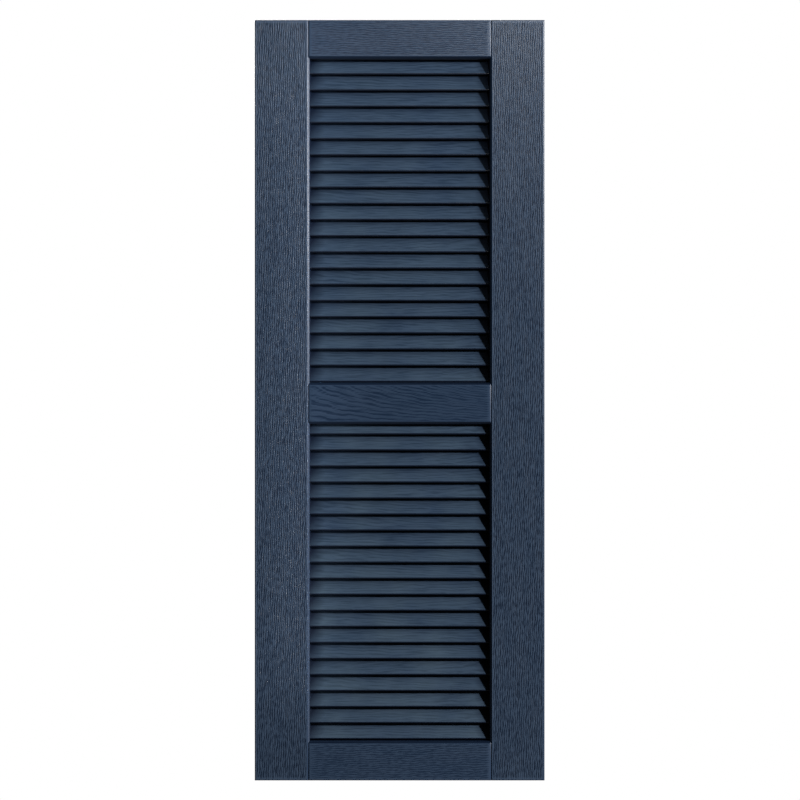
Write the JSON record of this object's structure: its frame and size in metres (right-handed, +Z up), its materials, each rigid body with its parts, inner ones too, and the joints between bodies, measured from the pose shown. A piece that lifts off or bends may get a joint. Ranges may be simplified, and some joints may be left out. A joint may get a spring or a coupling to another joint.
{
  "type": "louvred shutter",
  "caption": "Fixed louvred wall shutter: a hollow-backed moulded panel with flat stiles and rails around fields of downward-sloping louvres.",
  "frame": {"origin": "centre of the back plane, where the panel lies against the wall", "axes": "+Z up along the stiles, +X to the right seen from the front, +Y into the wall; the face looks along -Y"},
  "size_m": [0.378, 0.0254, 0.9906],
  "materials": {
    "moulded_plastic": "matte"
  },
  "bodies": {
    "root": {"shutter_panel": "moulded_plastic"}
  },
  "joints": []
}
